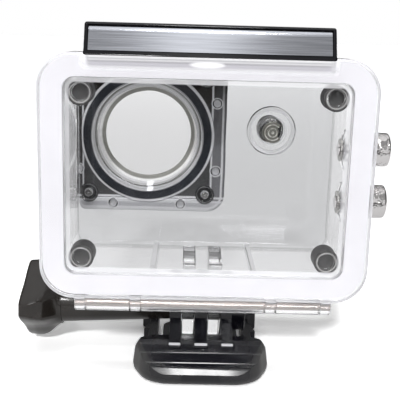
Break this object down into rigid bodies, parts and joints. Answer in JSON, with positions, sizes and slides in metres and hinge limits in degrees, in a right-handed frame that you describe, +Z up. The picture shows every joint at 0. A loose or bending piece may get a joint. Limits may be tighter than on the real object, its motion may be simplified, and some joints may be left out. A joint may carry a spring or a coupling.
{
  "type": "underwater camera housing",
  "caption": "Clear box-shaped underwater camera housing with round front port, hinged rear door, top latch, sealed push buttons and a tilting quick-release buckle mount.",
  "frame": {"origin": "on the underside of the quick-release buckle, straight below the thumb screw's axis and midway between its outer prongs", "axes": "+X to the right as the rear door is seen, +Y forward through the port, +Z up"},
  "size_m": [0.0856, 0.0438, 0.0807],
  "materials": {
    "clear_plastic": "polished clear polycarbonate, polished edges",
    "window_glass": "flat polished window",
    "white_silicone": "soft satin white silicone",
    "dark_rubber": "matt dark grey rubber",
    "gloss_black_plastic": "glossy moulded black",
    "smoked_plastic": "smoky blue-black gloss",
    "matte_black_plastic": "fine matt texture",
    "brushed_metal": "satin, brushed along its length",
    "chrome_cap": "bright polished",
    "steel": "satin turned steel"
  },
  "bodies": {
    "buckle": {"buckle": "gloss_black_plastic", "hex_nut": "steel"},
    "thumb_screw": {"thumb_bolt": "steel", "thumb_knob": "matte_black_plastic"},
    "housing": {"front_shell": "clear_plastic", "hinge_pin": "steel", "latch_pin": "steel", "lens_gasket": "dark_rubber", "lens_window": "window_glass", "lens_bezel": "smoked_plastic", "bezel_screw_1": "steel", "bezel_screw_2": "steel", "bezel_screw_3": "steel", "bezel_screw_4": "steel", "front_button_spring": "steel", "front_button_seal": "dark_rubber", "top_button_spring": "steel", "top_button_seal": "dark_rubber", "upper_side_button_spring": "steel", "upper_side_button_seal": "dark_rubber", "lower_side_button_spring": "steel", "lower_side_button_seal": "dark_rubber"},
    "rear_door": {"rear_door": "clear_plastic", "door_gasket": "white_silicone", "door_pad_1": "dark_rubber", "door_pad_2": "dark_rubber", "door_pad_3": "dark_rubber", "door_pad_4": "dark_rubber"},
    "latch": {"latch_lever": "gloss_black_plastic", "latch_plate": "brushed_metal"},
    "front_button": {"front_button_cap": "chrome_cap", "front_button_clip": "steel"},
    "top_button": {"top_button_cap": "chrome_cap", "top_button_clip": "steel"},
    "upper_side_button": {"upper_side_button_cap": "chrome_cap", "upper_side_button_clip": "steel"},
    "lower_side_button": {"lower_side_button_cap": "chrome_cap", "lower_side_button_clip": "steel"}
  },
  "joints": [
    {"name": "mount_tilt", "type": "hinge", "parent": "buckle", "child": "housing", "pos_m": [0, 0, 0.01225], "axis": [-1, 0, 0], "range_deg": [-36, 75]},
    {"name": "thumb_screw_turn", "type": "hinge", "parent": "buckle", "child": "thumb_screw", "pos_m": [0, 0, 0.01225], "axis": [1, 0, 0], "continuous": true},
    {"name": "latch_lift", "type": "hinge", "parent": "housing", "child": "latch", "pos_m": [0, 0.003, 0.07625], "axis": [-1, 0, 0], "range_deg": [0, 130]},
    {"name": "door_open", "type": "hinge", "parent": "housing", "child": "rear_door", "pos_m": [0, -0.02135, 0.0202], "axis": [1, 0, 0], "range_deg": [0, 100.01]},
    {"name": "front_button_press", "type": "slide", "parent": "housing", "child": "front_button", "axis": [0, -1, 0], "range_m": [0, 0.0013], "stiffness_N_per_m": 1500, "springref_m": -0.001},
    {"name": "top_button_press", "type": "slide", "parent": "housing", "child": "top_button", "axis": [0, 0, -1], "range_m": [0, 0.0013], "stiffness_N_per_m": 1500, "springref_m": -0.001},
    {"name": "upper_side_button_press", "type": "slide", "parent": "housing", "child": "upper_side_button", "axis": [-1, 0, 0], "range_m": [0, 0.0013], "stiffness_N_per_m": 1500, "springref_m": -0.001},
    {"name": "lower_side_button_press", "type": "slide", "parent": "housing", "child": "lower_side_button", "axis": [-1, 0, 0], "range_m": [0, 0.0013], "stiffness_N_per_m": 1500, "springref_m": -0.001}
  ],
  "couplings": [
    {"joint": "door_open", "follows": "latch_lift", "ratio": 0.76923}
  ]
}
